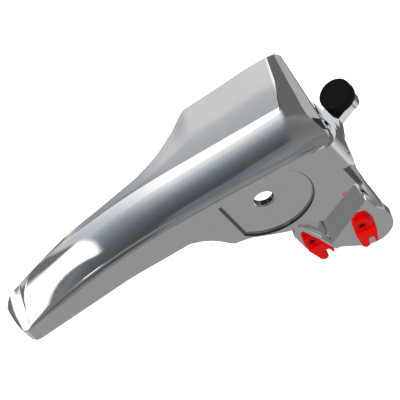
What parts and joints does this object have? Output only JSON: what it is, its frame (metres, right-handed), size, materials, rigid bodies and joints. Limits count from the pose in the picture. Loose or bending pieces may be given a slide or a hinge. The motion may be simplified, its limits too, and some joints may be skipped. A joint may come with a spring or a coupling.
{
  "type": "car interior door handle",
  "caption": "Chrome-plated bell-crank pull lever for a car's inner door panel, with a crowned grip, flared head, pivot bore, rod clips and a rubber stop.",
  "frame": {"origin": "on the pivot bore's axis, midway between the bore's two ends", "axes": "+X along the grip towards the head, +Y along the pivot axis from the near wall inwards, +Z out through the show face"},
  "size_m": [0.1345, 0.0492, 0.0615],
  "materials": {
    "chrome_plate": "polished",
    "black_rubber": "matte",
    "red_acetal": "semi-gloss"
  },
  "bodies": {
    "handle": {"lever": "chrome_plate", "stop_bumper": "black_rubber"},
    "pull_clip": {"pull_rod_clip": "red_acetal"},
    "lock_clip": {"lock_rod_clip": "red_acetal"}
  },
  "joints": [
    {"name": "pull_clip_swivel", "type": "hinge", "parent": "handle", "child": "pull_clip", "pos_m": [0.0198, -0.01605, -0.027], "axis": [0, -1, 0], "range_deg": [-30, 30]},
    {"name": "lock_clip_swivel", "type": "hinge", "parent": "handle", "child": "lock_clip", "pos_m": [0.0004, -0.0055, -0.0346], "axis": [0, -1, 0], "range_deg": [-10, 25]}
  ]
}
